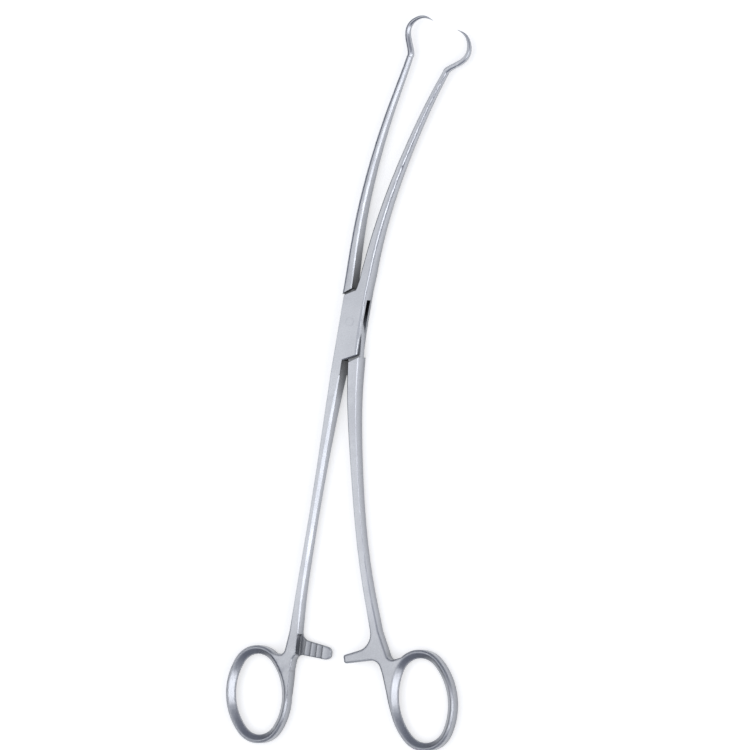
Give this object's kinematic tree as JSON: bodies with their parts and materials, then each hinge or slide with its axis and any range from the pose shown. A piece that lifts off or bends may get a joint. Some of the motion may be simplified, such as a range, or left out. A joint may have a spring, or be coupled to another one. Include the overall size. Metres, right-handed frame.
{
  "type": "tenaculum forceps",
  "caption": "Long, side-curved tenaculum forceps of satin steel: box lock, single curved hook on each jaw, ratchet arms and finger rings.",
  "frame": {"origin": "on the pin's axis, in the plane of the back cheek that the instrument rests on", "axes": "+Z out of the ring plane, along the pin; +Y along the instrument from the rings to the jaws; +X to the right seen from above"},
  "size_m": [0.0985, 0.279, 0.0065],
  "materials": {
    "satin_steel": "satin",
    "pin_steel": "satin"
  },
  "bodies": {
    "box_side": {"box_half": "satin_steel", "pivot_pin": "pin_steel"},
    "tang_side": {"tang_half": "satin_steel"}
  },
  "joints": [
    {"name": "box_lock", "type": "hinge", "parent": "box_side", "child": "tang_side", "pos_m": [0, 0, 0.00325], "axis": [0, 0, 1], "range_deg": [-6.4, 53]}
  ]
}
